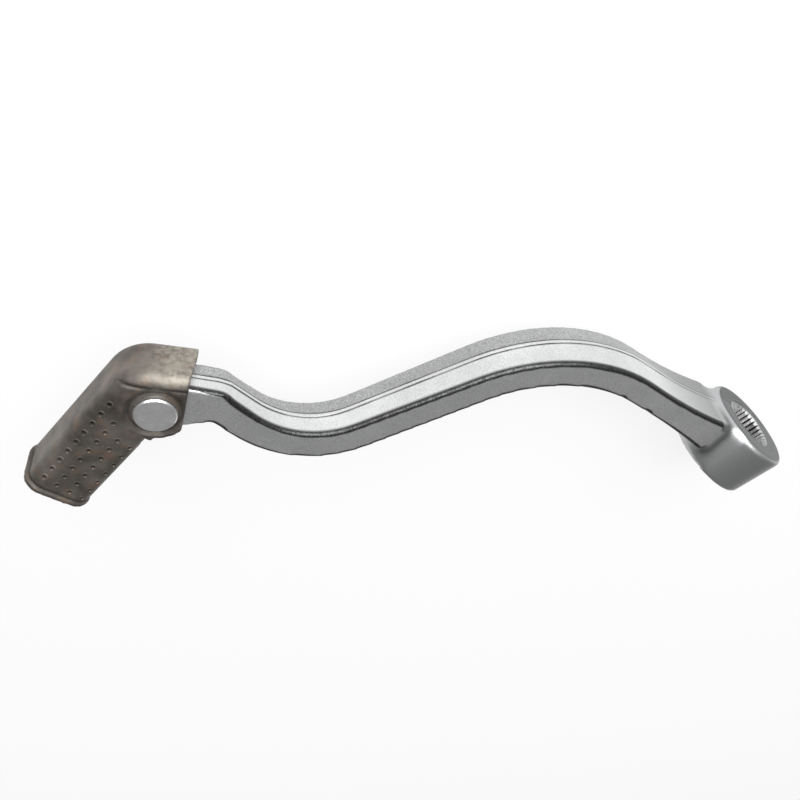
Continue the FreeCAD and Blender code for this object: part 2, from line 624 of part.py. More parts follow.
pocket(toe, "HeadCavityCut", cavity, cavity_height, midplane=True)

pivot_sketch = add_sketch(toe, "CheekHoles", "XY_Plane")
add_circle(pivot_sketch, "0", "0", pin_radius, (0, 0, pin_guess))
pocket(toe, "CheekHolesCut", pivot_sketch, "2 * " + toe_height, midplane=True)
seat_sketch = offset_sketch(toe, "RivetSeat", "XY_Plane", toe_height + " / 2")
add_circle(seat_sketch, "0", "0", cell("rivet_seat") + " / 2", (0, 0, sizes["rivet_seat"] / 2))
pocket(toe, "RivetSeatCut", seat_sketch, cell("rivet_seat_depth"))

# Punched grip holes in the upper skin: rows along the peg, each set a little further out than the last.
for row, count_name in enumerate(("grip_front_row", "grip_second_row", "grip_third_row", "grip_rear_row")):
    hole_x = front_guess - sizes["grip_edge"] - row * sizes["grip_row_gap"]
    hole_y = sizes["peg_end"] - sizes["grip_margin"] + row * sizes["grip_skew"]
    hole_x_text = "%s - %s - %d * %s" % (front_x, cell("grip_edge"), row, cell("grip_row_gap"))
    hole_y_text = "%s - %s + %d * %s" % (cell("peg_end"), cell("grip_margin"), row, cell("grip_skew"))
    hole_sketch = offset_sketch(toe, "GripHole%d" % row, "XY_Plane", toe_height + " / 2")
    add_circle(hole_sketch, hole_x_text, hole_y_text, cell("grip_hole") + " / 2",
               (hole_x, hole_y, sizes["grip_hole"] / 2))
    hole = pocket(toe, "GripHoleCut%d" % row, hole_sketch, cell("grip_depth"))
    holes = toe.newObject("PartDesign::LinearPattern", "GripRow%d" % row)
    holes.Originals = [hole]
    holes.Direction = (origin_plane(toe, "Y_Axis"), [""])
    holes.Reversed = True
    holes.setExpression("Length", "(%s - 1) * %s" % (cell(count_name), cell("grip_pitch")))
    holes.setExpression("Occurrences", cell(count_name))
    toe.Tip = holes
    doc.recompute()
toe_place = "%s * placement(vector(%s; %s; 0); rotation(-%s; 0; 0))" % (
    arm_place, pivot_x, pivot_y, turn("toe_lean"))
toe.setExpression("Placement", toe_place)

# Rivet: flat head on the pressed seat, shank through both cheeks and the eye, formed tail below.
rivet = doc.addObject("PartDesign::Body", "PivotRivet")
rivet.Label = "pivot_rivet"
doc.recompute()
profile = add_sketch(rivet, "RivetProfile", "XZ_Plane")
head_radius = (sizes["rivet_head"] / 2, cell("rivet_head") + " / 2")
shank = (sizes["rivet_diameter"] / 2, cell("rivet_diameter") + " / 2")
seat_level = (toe_height_guess / 2 - sizes["rivet_seat_depth"],
              "%s / 2 - %s" % (toe_height, cell("rivet_seat_depth")))
top = (seat_level[0] + sizes["rivet_head_height"], seat_level[1] + " + " + cell("rivet_head_height"))
under = (-toe_height_guess / 2, "-%s / 2" % toe_height)
bottom = (under[0] - sizes["rivet_head_height"], under[1] + " - " + cell("rivet_head_height"))
axis = (0, "0")
bevel = sizes["rivet_head_edge"]
rim = (head_radius[0] - bevel, head_radius[1] + " - " + cell("rivet_head_edge"))
top_rim = (top[0] - bevel, top[1] + " - " + cell("rivet_head_edge"))
bottom_rim = (bottom[0] + bevel, bottom[1] + " + " + cell("rivet_head_edge"))
corners = [(axis, bottom), (rim, bottom), (head_radius, bottom_rim), (head_radius, under), (shank, under),
           (shank, seat_level), (head_radius, seat_level), (head_radius, top_rim), (rim, top), (axis, top)]
polygon(profile, [(x[0], z[0], x[1], z[1]) for x, z in corners])
turned = rivet.newObject("PartDesign::Revolution", "RivetTurned")
turned.Profile = profile
turned.ReferenceAxis = (profile, ["V_Axis"])
turned.Angle = 360
doc.recompute()
rivet.setExpression("Placement", toe_place)

# Return spring: close coil round the rivet, one leg along the arm and one against the web.
arm_leg_turn = "(%s + 270 deg)" % turn("tongue_angle")
toe_leg_turn = turn("spring_toe_turn")
coil_turns = "((%s + 720 deg - %s) / 360 deg)" % (toe_leg_turn, arm_leg_turn)
helix = doc.addObject("Part::Helix", "SpringHelix")
helix.setExpression("Pitch", cell("spring_pitch"))
helix.setExpression("Height", "%s * %s" % (cell("spring_pitch"), coil_turns))
helix.setExpression("Radius", cell("spring_radius"))
helix.Style = 1
wire = doc.addObject("Part::RegularPolygon", "SpringWire")
wire.setExpression("Polygon", cell("spring_wire_sides"))
wire.setExpression("Circumradius", cell("spring_wire") + " / 2")
wire.setExpression("Placement", "placement(vector(%s; 0; 0); rotation(0; 0; 90))" % cell("spring_radius"))
doc.recompute()
coil = doc.addObject("Part::Sweep", "SpringCoil")
coil.Sections = [wire]
coil.Spine = (helix, ["Edge%d" % (i + 1) for i in range(len(helix.Shape.Edges))])
coil.Solid = True
coil.Frenet = True
legs = []
for name, length, place in (
    ("SpringArmLeg", "spring_arm_leg",
     "placement(vector(%s; 0; 0); rotation(0; 0; 90))" % cell("spring_radius")),
    ("SpringToeLeg", "spring_toe_leg",
     "placement(vector(0; 0; %s * %s); rotation(%s - %s; 0; 0)) * "
     "placement(vector(%s; 0; 0); rotation(0; 0; -90))" % (
         cell("spring_pitch"), coil_turns, toe_leg_turn, arm_leg_turn, cell("spring_radius")))):
    leg = doc.addObject("Part::Cylinder", name)
    leg.setExpression("Radius", cell("spring_wire") + " / 2")
    leg.setExpression("Height", cell(length))
    leg.setExpression("Placement", place)
    legs.append(leg)
spring = doc.addObject("Part::MultiFuse", "ReturnSpring")
spring.Label = "return_spring"
spring.Shapes = [coil] + legs
spring.setExpression("Placement", "%s * placement(vector(%s; %s; -%s * %s / 2); rotation(%s; 0; 0))" % (
    arm_place, pivot_x, pivot_y, cell("spring_pitch"), coil_turns, arm_leg_turn))
doc.recompute()

failed = [item.Name for item in doc.Objects if "Invalid" in item.State or "Error" in item.State]
if failed:
    raise RuntimeError("not built: " + ", ".join(failed))
os.makedirs("parts", exist_ok=True)
for item in (arm, toe, rivet, spring):
    if item.Shape.isNull() or not item.Shape.isValid():
        raise RuntimeError("no valid solid: " + item.Label)
    item.Shape.exportStep("parts/%s.step" % item.Label)
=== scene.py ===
import math

import bmesh
import bpy
from mathutils import Matrix, Vector


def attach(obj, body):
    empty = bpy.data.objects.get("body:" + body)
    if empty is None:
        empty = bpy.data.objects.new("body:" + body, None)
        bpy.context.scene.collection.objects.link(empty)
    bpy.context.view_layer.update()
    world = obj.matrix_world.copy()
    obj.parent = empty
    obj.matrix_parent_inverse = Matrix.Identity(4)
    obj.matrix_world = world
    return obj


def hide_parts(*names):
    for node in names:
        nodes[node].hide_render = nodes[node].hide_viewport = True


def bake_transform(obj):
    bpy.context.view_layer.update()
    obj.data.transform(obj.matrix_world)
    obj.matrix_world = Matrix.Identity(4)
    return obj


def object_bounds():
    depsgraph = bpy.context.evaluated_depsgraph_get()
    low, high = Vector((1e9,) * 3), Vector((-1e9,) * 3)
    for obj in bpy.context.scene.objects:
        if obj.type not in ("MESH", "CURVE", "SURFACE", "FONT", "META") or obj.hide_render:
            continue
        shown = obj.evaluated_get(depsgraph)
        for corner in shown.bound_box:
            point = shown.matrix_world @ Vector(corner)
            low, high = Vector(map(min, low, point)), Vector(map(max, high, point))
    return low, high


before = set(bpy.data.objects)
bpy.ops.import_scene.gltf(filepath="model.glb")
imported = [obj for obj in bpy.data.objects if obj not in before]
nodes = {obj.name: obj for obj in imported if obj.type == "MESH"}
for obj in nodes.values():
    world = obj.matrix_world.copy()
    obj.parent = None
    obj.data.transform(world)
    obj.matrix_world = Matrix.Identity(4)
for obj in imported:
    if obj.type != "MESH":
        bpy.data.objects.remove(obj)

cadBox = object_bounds()
scene = bpy.context.scene

# the arm's own canted plane, and the toe piece about its pivot with the peg along +Y
armLie = {"drop": 0.0017, "rise": 1.95, "roll": 7.2, "pivot": (0.1320543, 0.0567697), "toeLean": 6.6}
armFrame = (Matrix.Translation((0, 0, -armLie["drop"]))
            @ Matrix.Rotation(math.radians(-armLie["rise"]), 4, "Y")
            @ Matrix.Rotation(math.radians(armLie["roll"]), 4, "X"))
pivotFrame = armFrame @ Matrix.Translation((*armLie["pivot"], 0))
toeFrame = pivotFrame @ Matrix.Rotation(math.radians(-armLie["toeLean"]), 4, "Z")


# shared helpers

def keepMesh(bm, name):
    mesh = bpy.data.meshes.new(name)
    bm.to_mesh(mesh)
    bm.free()
    for face in mesh.polygons:
        face.use_smooth = True
    piece = bpy.data.objects.new(name, mesh)
    scene.collection.objects.link(piece)
    return piece


def mergedCopy(nodeName):
    bm = bmesh.new()
    bm.from_mesh(nodes[nodeName].data)
    bmesh.ops.remove_doubles(bm, verts=bm.verts, dist=1e-6)
    return bm


def evenSkin(bm, name, voxel):
    # even quads over the whole form, so that its edges can be worn round
    rough = keepMesh(bm, name + "Rough")
    remesh = rough.modifiers.new("evenSkin", "REMESH")
    remesh.mode = "VOXEL"
    remesh.voxel_size = voxel
    graph = bpy.context.evaluated_depsgraph_get()
    mesh = bpy.data.meshes.new_from_object(rough.evaluated_get(graph))
    bpy.data.objects.remove(rough)
    even = bmesh.new()
    even.from_mesh(mesh)
    bpy.data.meshes.remove(mesh)
    return even


def wearRound(bm, verts, passes):
    for _ in range(passes):
        bmesh.ops.smooth_vert(bm, verts=verts, factor=0.5, use_axis_x=True, use_axis_y=True, use_axis_z=True)


def newMaterial(name):
    mat = bpy.data.materials.new(name)
    mat.use_nodes = True
    tree = mat.node_tree
    tree.nodes.clear()
    out = tree.nodes.new("ShaderNodeOutputMaterial")
    shader = tree.nodes.new("ShaderNodeBsdfPrincipled")
    tree.links.new(shader.outputs["BSDF"], out.inputs["Surface"])
    return mat, tree, shader


def objectCoords(tree):
    return tree.nodes.new("ShaderNodeTexCoord").outputs["Object"]


def noise(tree, coords, scale, detail, roughness=0.55):
    node = tree.nodes.new("ShaderNodeTexNoise")
    node.inputs["Scale"].default_value = scale
    node.inputs["Detail"].default_value = detail
    node.inputs["Roughness"].default_value = roughness
    tree.links.new(coords, node.inputs["Vector"])
    return node.outputs["Fac"]


def ramp(tree, source, stops):
    node = tree.nodes.new("ShaderNodeValToRGB")
    elements = node.color_ramp.elements
    while len(elements) < len(stops):
        elements.new(0.5)
    for element, (place, colour) in zip(elements, stops):
        element.position = place
        element.color = (*colour, 1) if isinstance(colour, tuple) else (colour, colour, colour, 1)
    tree.links.new(source, node.inputs["Fac"])
    return node.outputs["Color"]


def spread(tree, source, low, high, fromLow=0.0, fromHigh=1.0):
    node = tree.nodes.new("ShaderNodeMapRange")
    for socket, value in (("From Min", fromLow), ("From Max", fromHigh), ("To Min", low), ("To Max", high)):
        node.inputs[socket].default_value = value
    tree.links.new(source, node.inputs["Value"])
    return node.outputs["Result"]


def sums(tree, operation, first, second):
    node = tree.nodes.new("ShaderNodeMath")
    node.operation = operation
    for socket, value in zip(node.inputs, (first, second)):
        if isinstance(value, (int, float)):
            socket.default_value = value
        else:
            tree.links.new(value, socket)
    return node.outputs["Value"]


def times(tree, first, second):
    return sums(tree, "MULTIPLY", first, second)


def size(tree, value):
    return sums(tree, "ABSOLUTE", value, 0)


def distance(tree, first, second):
    return sums(tree, "SQRT", sums(tree, "ADD", times(tree, first, first), times(tree, second, second)), 0)


def rising(tree, source, bounds, top=1.0):
    return spread(tree, source, 0, top, *bounds)


def falling(tree, source, bounds, top=1.0):
    return spread(tree, source, top, 0, *bounds)


def nearTo(tree, source, place, bounds, top=1.0):
    # a soft band either side of one place
    return falling(tree, size(tree, sums(tree, "SUBTRACT", source, place)), bounds, top)


def mixColour(tree, factor, first, second, blend="MIX"):
    node = tree.nodes.new("ShaderNodeMix")
    node.data_type = "RGBA"
    node.blend_type = blend
    links = ((factor, node.inputs[0]), (first, node.inputs[6]), (second, node.inputs[7]))
    for value, socket in links:
        if isinstance(value, tuple):
            socket.default_value = (*value, 1)
        elif isinstance(value, (int, float)):
            socket.default_value = value
        else:
            tree.links.new(value, socket)
    return node.outputs[2]


def bump(tree, source, strength, distance, normal=None):
    node = tree.nodes.new("ShaderNodeBump")
    node.inputs["Strength"].default_value = strength
    node.inputs["Distance"].default_value = distance
    tree.links.new(source, node.inputs["Height"])
    if normal is not None:
        tree.links.new(normal, node.inputs["Normal"])
    return node.outputs["Normal"]


def localCoords(tree, coords, place):
    # Object coordinates seen from a turned place on the piece, in millimetres
    inverse = place.inverted()
    node = tree.nodes.new("ShaderNodeMapping")
    node.inputs["Location"].default_value = [1000 * part for part in inverse.to_translation()]
    node.inputs["Rotation"].default_value = inverse.to_euler("XYZ")
    node.inputs["Scale"].default_value = (1000, 1000, 1000)
    tree.links.new(coords, node.inputs["Vector"])
    split = tree.nodes.new("ShaderNodeSeparateXYZ")
    tree.links.new(node.outputs["Vector"], split.inputs["Vector"])
    return node.outputs["Vector"], split.outputs


# blasted silver forging: smooth above the parting line, darker and grainier below it, trimmed flash along the
# parting line, duller boss with dark end faces, painted shade along the upper edge, in the hollow beside the boss
# and on the arm's root, and a bright bore with painted shade in its serration roots; lengths in millimetres
forging = {"dark": (0.80, 0.805, 0.81), "light": (0.93, 0.935, 0.94), "lower": 0.58, "rough": 0.34,
           "grain": 3.6, "cloud": 0.09, "wander": 0.12, "sparkle": 0.7, "grainDepth": 0.0001,
           "parting": (-0.75, -0.35), "flashHalf": 0.62, "line": (0.04, 0.34), "lineDepth": 0.00015,
           "lineTone": (0.02, 0.0205, 0.021),
           "rootTop": 8.8, "topFall": 0.0385, "rootEnd": 12.4,
           "edgeStart": (-1.5, -0.85), "edgeStop": (-0.07, -0.02), "edgeShade": (0.015, 0.0153, 0.0156),
           "bossReach": (12.6, 16.0), "boss": (0.55, 0.555, 0.56), "bossDull": 0.06,
           "hollowStart": (11.9, 13.0), "hollowStop": (13.4, 14.6), "hollowRise": (2, 6),
           "hollow": (0.17, 0.172, 0.175),
           "rootReach": (15, 40), "rootBelow": (-1.6, -1.0), "root": (0.27, 0.273, 0.275), "rootShare": 0.8,
           "faceDepth": (6.7, 6.95), "faceReach": (11.8, 12.6), "face": (0.15, 0.153, 0.155),
           "boreReach": (7.2, 7.3), "boreEnd": (6.0, 6.2), "teeth": (6.3, 7.0),
           "bore": (0.92, 0.92, 0.92), "groove": (0.015, 0.015, 0.016)}


def forgingMaterial(name):
    mat, tree, shader = newMaterial(name)
    coords = objectCoords(tree)
    vector, axes = localCoords(tree, coords, armFrame)
    row = localCoords(tree, coords, Matrix())[1]
    height = axes["Z"]
    fromBore = distance(tree, row["X"], row["Z"])
    fromMiddle = size(tree, row["Y"])
    grain = noise(tree, vector, forging["grain"], 3, 0.7)
    cloud = noise(tree, vector, forging["cloud"], 4)

    # blasted skin, darker and grainier below the parting line
    below = falling(tree, height, forging["parting"])
    tone = ramp(tree, cloud, [(0.3, forging["dark"]), (0.7, forging["light"])])
    speck = ramp(tree, grain, [(0.3, forging["lower"] * 0.6), (0.7, forging["lower"] * 1.4)])
    tone = mixColour(tree, below, tone, speck, "MULTIPLY")
    sparkle = ramp(tree, grain, [(0.32, forging["sparkle"]), (0.6, 1.0)])
    tone = mixColour(tree, 1.0, tone, sparkle, "MULTIPLY")
    onBoss = falling(tree, fromBore, forging["bossReach"])
    offBoss = spread(tree, onBoss, 1, 0)
    tone = mixColour(tree, onBoss, tone, forging["boss"])

    # both edges of the trimmed flash
    line = times(tree, nearTo(tree, size(tree, height), forging["flashHalf"], forging["line"]), offBoss)
    wander = spread(tree, noise(tree, vector, forging["wander"], 3), 0.7, 1, 0.4, 0.58)
    tone = mixColour(tree, times(tree, line, wander), tone, forging["lineTone"])

    # painted shade: a dark band on the rounded edge just below the top face, which falls towards the toe
    along = times(tree, sums(tree, "SUBTRACT", axes["X"], forging["rootEnd"]), forging["topFall"])
    under = sums(tree, "SUBTRACT", sums(tree, "ADD", height, along), forging["rootTop"])
    wearAndPaintedShade = times(tree, rising(tree, under, forging["edgeStart"]), falling(tree, under, forging["edgeStop"]))
    wearAndPaintedShade = times(tree, times(tree, wearAndPaintedShade, offBoss), spread(tree, grain, 0.85, 1.0, 0.35, 0.65))
    tone = mixColour(tree, wearAndPaintedShade, tone, forging["edgeShade"])

    # painted shade in the hollow beside the boss and on the top face at the root of the arm
    hollow = times(tree, rising(tree, fromBore, forging["hollowStart"]),
                   falling(tree, fromBore, forging["hollowStop"], forging["rootShare"]))
    hollow = times(tree, hollow, rising(tree, height, forging["hollowRise"]))
    tone = mixColour(tree, hollow, tone, forging["hollow"])
    rootShade = times(tree, falling(tree, fromBore, forging["rootReach"], forging["rootShare"]),
                falling(tree, under, forging["rootBelow"]))
    tone = mixColour(tree, times(tree, rootShade, offBoss), tone, forging["root"])

    # end faces, and the bore with painted shade in its serration roots
    onFace = times(tree, rising(tree, fromMiddle, forging["faceDepth"]),
                   falling(tree, fromBore, forging["faceReach"]))
    tone = mixColour(tree, onFace, tone, forging["face"])
    wall = times(tree, falling(tree, fromBore, forging["boreReach"]),
                 falling(tree, fromMiddle, forging["boreEnd"]))
    teeth = ramp(tree, rising(tree, fromBore, forging["teeth"]),
                 [(0.5, forging["bore"]), (0.72, forging["groove"])])
    tone = mixColour(tree, wall, tone, teeth)
    tree.links.new(tone, shader.inputs["Base Color"])

    dull = sums(tree, "ADD", spread(tree, grain, forging["rough"] - 0.05, forging["rough"] + 0.08),
                sums(tree, "ADD", spread(tree, below, 0, 0.1), spread(tree, onBoss, 0, forging["bossDull"])))
    tree.links.new(sums(tree, "SUBTRACT", dull, spread(tree, wall, 0, 0.1)), shader.inputs["Roughness"])
    fine = bump(tree, times(tree, grain, spread(tree, below, 0.7, 1)), 0.5, forging["grainDepth"])
    land = spread(tree, times(tree, line, offBoss), 1, 0)
    tree.links.new(bump(tree, land, 0.6, forging["lineDepth"], fine), shader.inputs["Normal"])
    shader.inputs["Metallic"].default_value = 1.0
    return mat


# the arm: worn-round body, with the bore kept crisp as a sleeve
arm = {"voxel": 0.00035, "wear": 13, "bossWear": 4, "boss": 0.0128, "rootWear": 60, "rootFrom": 0.0075,
       "rootBand": (0.0113, 0.0155), "boreReach": 0.0073, "sleeve": 0.0086, "sleeveLap": 0.0007,
       "sleeveKeep": 0.0006, "face": 0.00701, "rimSink": 0.996, "rimProud": 1.002}


def boreRadius(vert):
    return math.hypot(vert.co.x, vert.co.z)


def inBore(vert):
    return boreRadius(vert) < arm["boreReach"] and abs(vert.co.y) < arm["face"]


def setRadius(vert, radius):
    grow = radius / boreRadius(vert)
    vert.co.x *= grow
    vert.co.z *= grow


def forgedArm():
    bm = mergedCopy("lever_arm")
    for vert in [v for v in bm.verts if inBore(v)]:
        setRadius(vert, arm["sleeve"] - 0.0001)  # plain hole for the serrated sleeve
    bm = evenSkin(bm, "forgedArm", arm["voxel"])
    free = [v for v in bm.verts if boreRadius(v) > arm["sleeve"] + arm["sleeveKeep"]]
    wearRound(bm, [v for v in free if boreRadius(v) > arm["boss"]], arm["wear"])
    wearRound(bm, free, arm["bossWear"])
    inner, outer = arm["rootBand"]  # hollow where the arm meets the boss
    root = [v for v in free if v.co.x > arm["rootFrom"] and inner < boreRadius(v) < outer]
    wearRound(bm, root, arm["rootWear"])
    return keepMesh(bm, "forgedArm")


def serratedBore():
    # the crisp bore wall, with a flat rim at each end that meets the boss face
    bm = mergedCopy("lever_arm")
    bmesh.ops.delete(bm, geom=[v for v in bm.verts if not inBore(v)], context="VERTS")
    rim = [e for e in bm.edges if e.is_boundary]
    grown = bmesh.ops.extrude_edge_only(bm, edges=rim)["geom"]
    for vert in [g for g in grown if isinstance(g, bmesh.types.BMVert)]:
        setRadius(vert, arm["sleeve"] + arm["sleeveLap"])
        vert.co.y *= arm["rimSink"]  # the rim dips into the boss face
    for vert in {v for e in rim for v in e.verts}:
        vert.co.y *= arm["rimProud"]
    bmesh.ops.recalc_face_normals(bm, faces=bm.faces)
    piece = keepMesh(bm, "serratedBore")
    for face in piece.data.polygons:
        face.use_smooth = False
    return piece


silver = forgingMaterial("blastedForging")
forgedBody, boreSleeve = forgedArm(), serratedBore()
for piece in (forgedBody, boreSleeve):
    piece.data.materials.append(silver)
    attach(piece, "lever")
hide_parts("lever_arm")
print("forged arm done", len(forgedBody.data.polygons), len(boreSleeve.data.polygons))


# brown-grey phosphated sheet, worn bright on the web, with painted shade in its grooves; lengths in millimetres
pressing = {"dark": (0.052, 0.045, 0.039), "light": (0.165, 0.148, 0.13), "wearAndPaintedShade": (0.30, 0.273, 0.232),
            "rust": (0.19, 0.115, 0.07), "grooveShade": (0.022, 0.02, 0.018), "rough": 0.46, "metal": 0.5,
            "grain": 1.6, "cloud": 0.16, "scuff": 0.55, "stain": 0.3, "grainDepth": 0.00005, "scuffDepth": 0.0002,
            "webTurn": 27.0, "webOut": (6.6, 8.4), "webFront": (-1.5, 4.5), "cheek": (4.6, 5.6),
            "crease": 6.25, "creaseBand": (0.05, 0.45), "collar": 5.25, "collarBand": (0.05, 0.4),
            "lip": 30.6, "lipBand": (0.08, 0.4)}


def pressingMaterial():
    mat, tree, shader = newMaterial("phosphatedSheet")
    vector, axes = localCoords(tree, objectCoords(tree), toeFrame)
    grain = noise(tree, vector, pressing["grain"], 3, 0.65)
    cloud = noise(tree, vector, pressing["cloud"], 5, 0.6)
    scuff = noise(tree, vector, pressing["scuff"], 5, 0.7)
    tone = ramp(tree, cloud, [(0.32, pressing["dark"]), (0.72, pressing["light"])])
    stain = spread(tree, noise(tree, vector, pressing["stain"], 4), 0, 0.45, 0.52, 0.68)
    tone = mixColour(tree, stain, tone, pressing["rust"])

    # the web, worn by the boot
    turn = math.radians(pressing["webTurn"])
    sine, cosine = math.sin(turn), math.cos(turn)
    outward = sums(tree, "SUBTRACT", times(tree, axes["X"], sine), times(tree, axes["Y"], cosine))
    forward = sums(tree, "ADD", times(tree, axes["X"], cosine), times(tree, axes["Y"], sine))
    onWeb = times(tree, rising(tree, outward, pressing["webOut"]), falling(tree, forward, pressing["webFront"]))
    wearAndPaintedShade = times(tree, onWeb, spread(tree, scuff, 0.2, 1, 0.38, 0.58))
    tone = mixColour(tree, wearAndPaintedShade, tone, pressing["wearAndPaintedShade"])

    # painted shade in the fold crease, round the rivet and behind the lip
    onCheek = rising(tree, axes["Z"], pressing["cheek"])
    crease = times(tree, nearTo(tree, outward, pressing["crease"], pressing["creaseBand"]), onCheek)
    fromPivot = distance(tree, axes["X"], axes["Y"])
    collar = times(tree, nearTo(tree, fromPivot, pressing["collar"], pressing["collarBand"], 0.8), onCheek)
    lip = nearTo(tree, axes["Y"], pressing["lip"], pressing["lipBand"], 0.9)
    grooveShade = sums(tree, "MAXIMUM", sums(tree, "MAXIMUM", crease, lip), collar)
    tone = mixColour(tree, times(tree, grooveShade, 0.75), tone, pressing["grooveShade"])
    tree.links.new(tone, shader.inputs["Base Color"])

    dull = spread(tree, scuff, pressing["rough"] - 0.1, pressing["rough"] + 0.14)
    tree.links.new(dull, shader.inputs["Roughness"])
    fine = bump(tree, grain, 0.4, pressing["grainDepth"])
    tree.links.new(bump(tree, scuff, 0.35, pressing["scuffDepth"], fine), shader.inputs["Normal"])
    shader.inputs["Metallic"].default_value = pressing["metal"]
    return mat


# the toe piece, in its own frame and in millimetres apart from the voxel
toe = {"voxel": 0.00024, "wear": 4, "webCut": 6.4, "webSlant": 0.15, "half": 6.5, "front": 10.4, "rear": -3.4,
       "corner": 3.4, "end": 32.1, "groove": 0.26, "grooveHalf": 0.65, "cheek": 4.6, "middle": 3.5,
       "edge": 2.2, "rowGap": 3.1, "margin": 4.7, "skew": 0.6, "pitch": 3.05, "rows": (9, 8, 7, 7),
       "rimIn": 0.48, "rimTop": 0.64, "rimOut": 0.92, "rimHeight": 0.13, "rimFoot": -0.25, "rimEdge": 0.08,
       "rimTuck": -0.06, "rimSides": 18}


def grooveDepth(spot, normal):
    # pressed-in fold crease, collar round the rivet, and groove behind the peg's lip, in millimetres
    turn = math.radians(pressing["webTurn"])
    nearness = [0.0]
    if spot.z > toe["cheek"] and normal.z > 0.5:
        outward = spot.x * math.sin(turn) - spot.y * math.cos(turn)
        nearness.append(1 - abs(outward - pressing["crease"]) / toe["grooveHalf"])
        nearness.append(1 - abs(math.hypot(spot.x, spot.y) - pressing["collar"]) / toe["grooveHalf"])
    if (spot.x - toe["middle"]) * normal.x + spot.z * normal.z > 0:
        nearness.append(1 - abs(spot.y - pressing["lip"]) / toe["grooveHalf"])
    near = max(nearness)
    return toe["groove"] * near * near * (3 - 2 * near)


def pressedToe():
    bm = mergedCopy("toe_piece")
    turn = math.radians(pressing["webTurn"])
    rear = Vector((-math.cos(turn), -math.sin(turn), toe["webSlant"])).normalized()
    whole = bm.verts[:] + bm.edges[:] + bm.faces[:]
    bmesh.ops.bisect_plane(bm, geom=whole, dist=1e-6, clear_outer=True,  # slanted cut end of the web
                           plane_co=toeFrame @ (rear * toe["webCut"] * 0.001), plane_no=toeFrame.to_3x3() @ rear)
    bmesh.ops.holes_fill(bm, edges=[e for e in bm.edges if e.is_boundary], sides=0)
    bm = evenSkin(bm, "pressedToe", toe["voxel"])
    wearRound(bm, bm.verts, toe["wear"])
    bm.normal_update()
    inverse = toeFrame.inverted()
    depths = [(v, grooveDepth(inverse @ v.co * 1000, inverse.to_3x3() @ v.normal)) for v in bm.verts]
    for vert, depth in depths:
        vert.co -= vert.normal * (depth * 0.001)
    return keepMesh(bm, "pressedToe")


def gripPlace(row, step):
    # middle of one punched hole on the skin, and how far the skin leans there
    x = toe["front"] - toe["edge"] - row * toe["rowGap"]
    y = toe["end"] - toe["margin"] + row * toe["skew"] - step * toe["pitch"]
    over = max(x - (toe["front"] - toe["corner"]), 0) or min(x - (toe["rear"] + toe["corner"]), 0)
    lean = math.asin(over / toe["corner"])
    z = toe["half"] - toe["corner"] * (1 - math.cos(lean))
    return Matrix.Translation((x, y, z)) @ Matrix.Rotation(lean, 4, "Y")


def gripRims():
    # the burr that the punch throws up round each hole
    bm = bmesh.new()
    for row, count in enumerate(toe["rows"]):
        for step in range(count):
            place = toeFrame @ Matrix.Scale(0.001, 4) @ gripPlace(row, step)
            ring = bmesh.ops.create_circle(bm, segments=toe["rimSides"], radius=toe["rimIn"])["verts"]
            bmesh.ops.translate(bm, verts=ring, vec=(0, 0, toe["rimFoot"]))
            whole = list(ring)
            edges = list({e for v in ring for e in v.link_edges})
            for radius, height in ((toe["rimIn"], toe["rimEdge"]), (toe["rimTop"], toe["rimHeight"]),
                                   (toe["rimOut"], toe["rimTuck"])):
                geom = bmesh.ops.extrude_edge_only(bm, edges=edges)["geom"]
                verts = [g for g in geom if isinstance(g, bmesh.types.BMVert)]
                edges = [g for g in geom if isinstance(g, bmesh.types.BMEdge)]
                for vert in verts:
                    flat = Vector((vert.co.x, vert.co.y, 0)).normalized() * radius
                    vert.co = (flat.x, flat.y, height)
                whole += verts
            bmesh.ops.transform(bm, matrix=place, verts=whole)
    bmesh.ops.recalc_face_normals(bm, faces=bm.faces)
    return keepMesh(bm, "gripRims")


steel = pressingMaterial()
toeSkin, rims = pressedToe(), gripRims()
for piece in (toeSkin, rims):
    piece.data.materials.append(steel)
    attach(piece, "toe")
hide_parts("toe_piece")
print("toe piece done", len(toeSkin.data.polygons), len(rims.data.polygons))


# rivet: bright flat head with faint turning marks and scratches
rivet = {"dark": (0.76, 0.765, 0.76), "light": (0.93, 0.935, 0.93), "rough": 0.34, "cloud": 0.45,
         "scratch": 1.4, "scratchTurn": 0.6, "scratchStretch": (0.25, 3.0, 1.0), "scratchDepth": 0.00008}


def rivetMaterial():
    mat, tree, shader = newMaterial("brightRivet")
    vector = localCoords(tree, objectCoords(tree), toeFrame)[0]
    cloud = noise(tree, vector, rivet["cloud"], 5, 0.65)
    stretch = tree.nodes.new("ShaderNodeMapping")
    stretch.inputs["Rotation"].default_value = (0, 0, rivet["scratchTurn"])
    stretch.inputs["Scale"].default_value = rivet["scratchStretch"]
    tree.links.new(vector, stretch.inputs["Vector"])
    scratch = noise(tree, stretch.outputs["Vector"], rivet["scratch"], 4, 0.7)
    tone = ramp(tree, cloud, [(0.35, rivet["dark"]), (0.65, rivet["light"])])
    dull = spread(tree, scratch, rivet["rough"] - 0.08, rivet["rough"] + 0.12)
    tree.links.new(tone, shader.inputs["Base Color"])
    tree.links.new(dull, shader.inputs["Roughness"])
    tree.links.new(bump(tree, scratch, 0.25, rivet["scratchDepth"]), shader.inputs["Normal"])
    shader.inputs["Metallic"].default_value = 1.0
    return mat


nodes["pivot_rivet"].data.materials.clear()
nodes["pivot_rivet"].data.materials.append(rivetMaterial())
print("rivet done")


# return spring: round wire coil, one leg held by the arm and one against the web
spring = {"wire": 0.0006, "radius": 0.0039, "pitch": 0.0013, "armTurn": 297.0, "toeTurn": 251.5,
          "armLeg": 0.0046, "toeLeg": 0.006, "steps": 76, "sides": 14, "dark": (0.10, 0.10, 0.105),
          "light": (0.22, 0.22, 0.225), "rough": (0.28, 0.42), "cloud": 0.9, "drawn": 3, "drawnDepth": 0.00004}


